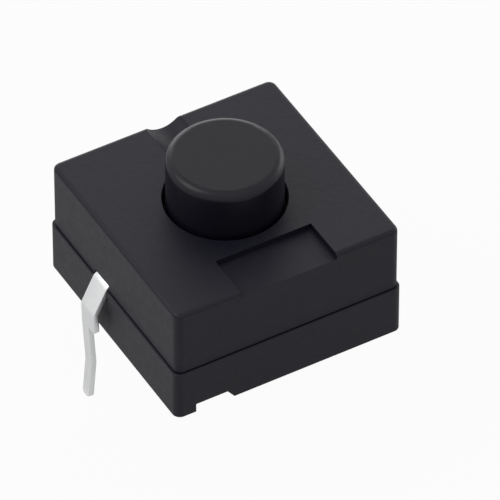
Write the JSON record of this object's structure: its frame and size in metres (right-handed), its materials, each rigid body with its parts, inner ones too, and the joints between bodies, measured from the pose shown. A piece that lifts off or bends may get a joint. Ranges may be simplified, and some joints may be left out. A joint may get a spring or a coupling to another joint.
{
  "type": "pushbutton switch",
  "caption": "Square push-on, push-off switch with a round sprung button, a ratchet rotor inside and through-hole solder legs.",
  "frame": {"origin": "middle of the base's underside, which seats on the circuit board", "axes": "+Z out of the button's face, X from the left-hand leg to the right-hand leg, -Y to the front edge with the pocket and the notch"},
  "size_m": [0.0136, 0.0122, 0.0136],
  "materials": {
    "housing_plastic": "fine moulded matt, bluish black",
    "button_plastic": "fine moulded satin, black",
    "rotor_plastic": "natural acetal, satin",
    "tin_plate": "bright tin plate over brass strip",
    "copper_strip": "rolled phosphor bronze sheet",
    "contact_silver": "silver rivet, polished",
    "spring_steel": "drawn steel wire and strip"
  },
  "bodies": {
    "housing": {"base": "housing_plastic", "cover": "housing_plastic", "left_terminal": "tin_plate", "right_terminal": "tin_plate", "left_fixed_contact": "contact_silver", "right_fixed_contact": "contact_silver", "spring_washer": "spring_steel", "return_spring": "spring_steel"},
    "button": {"button": "button_plastic"},
    "rotor": {"rotor": "rotor_plastic", "wiper_plate": "copper_strip", "wiper_contact_1": "contact_silver", "wiper_contact_2": "contact_silver", "wiper_contact_3": "contact_silver", "wiper_contact_4": "contact_silver"}
  },
  "joints": [
    {"name": "button_press", "type": "slide", "parent": "housing", "child": "button", "axis": [0, 0, -1], "range_m": [0, 0.0016], "stiffness_N_per_m": 1500, "deforming": ["return_spring"]},
    {"name": "rotor_step", "type": "hinge", "parent": "housing", "child": "rotor", "pos_m": [0, 0, 0.0023], "axis": [0, 0, 1], "range_deg": [0, 45]}
  ],
  "couplings": [
    {"joint": "rotor_step", "follows": "button_press", "rad_per_m": 490.87}
  ]
}
